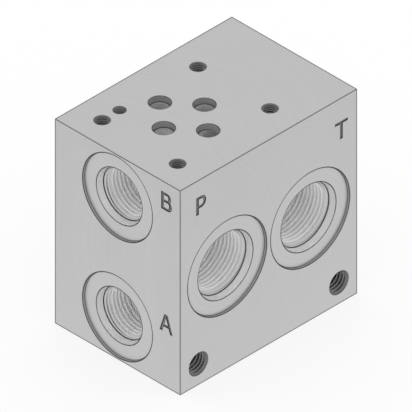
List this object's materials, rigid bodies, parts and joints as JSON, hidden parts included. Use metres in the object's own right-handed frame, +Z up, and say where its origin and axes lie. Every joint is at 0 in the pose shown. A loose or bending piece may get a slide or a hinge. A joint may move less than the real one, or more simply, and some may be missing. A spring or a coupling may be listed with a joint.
{
  "type": "hydraulic manifold block",
  "caption": "Machined hydraulic manifold block with a valve mounting pad on top, threaded work ports on one side and pressure and tank ports through both ends.",
  "frame": {"origin": "centre of the underside", "axes": "+Z up, out of the valve pad; -X out of the face with work ports A and B; -Y out of the end that the drawing shows, with P at -X and T at +X"},
  "size_m": [0.0762, 0.054, 0.0762],
  "materials": {
    "machined_block": "fine-milled satin"
  },
  "bodies": {
    "root": {"manifold_block": "machined_block"}
  },
  "joints": []
}
